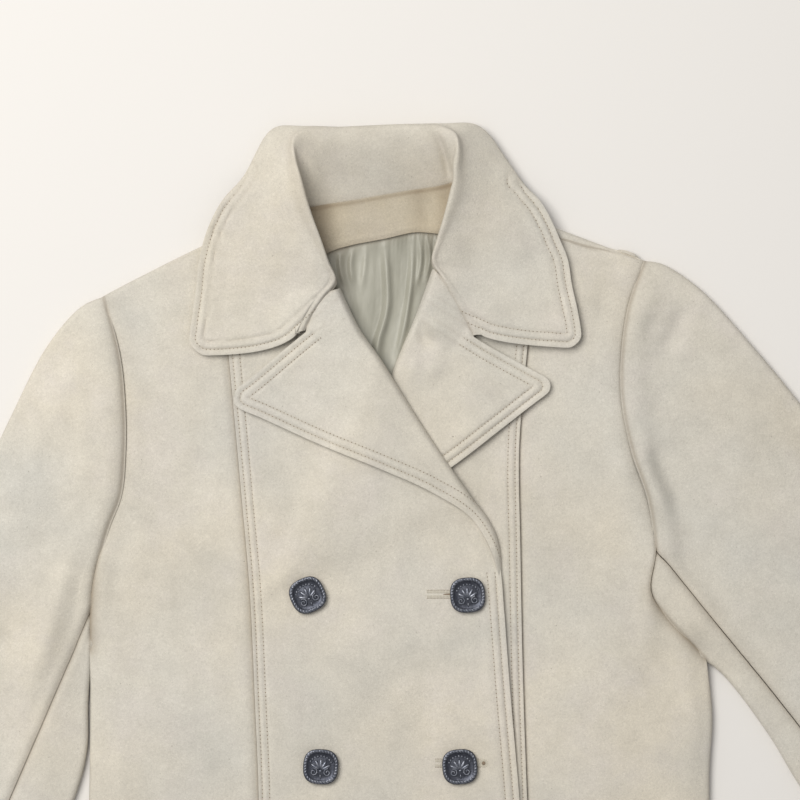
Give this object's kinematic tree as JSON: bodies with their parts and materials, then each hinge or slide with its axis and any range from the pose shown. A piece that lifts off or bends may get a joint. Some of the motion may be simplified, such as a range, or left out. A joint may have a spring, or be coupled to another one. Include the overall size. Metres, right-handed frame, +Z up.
{
  "type": "double-breasted coat",
  "caption": "Short cream wool double-breasted coat with notched lapels, princess seams and square metal buttons, buttoned and laid flat on its back.",
  "frame": {"origin": "under the middle of the coat, on the surface that it lies on", "axes": "+X towards the wearer's left sleeve, +Y from the hem towards the collar, +Z up from the surface, out of the coat's front"},
  "size_m": [1.015, 0.8152, 0.0356],
  "materials": {
    "wool": "felted, matt",
    "lining": "satin",
    "buttons": "dark antiqued, worn bright on the high points"
  },
  "bodies": {
    "root": {"back": "wool", "side_front_right": "wool", "side_front_left": "wool", "centre_front_right": "wool", "centre_front_left": "wool", "back_neck_facing": "wool", "back_lining": "lining", "lapel_right": "wool", "lapel_left": "wool", "collar": "wool", "sleeve_upper_right": "wool", "sleeve_under_right": "wool", "sleeve_upper_left": "wool", "sleeve_under_left": "wool", "button_1": "buttons", "button_2": "buttons", "button_3": "buttons", "button_4": "buttons", "button_5": "buttons", "button_6": "buttons"}
  },
  "joints": []
}
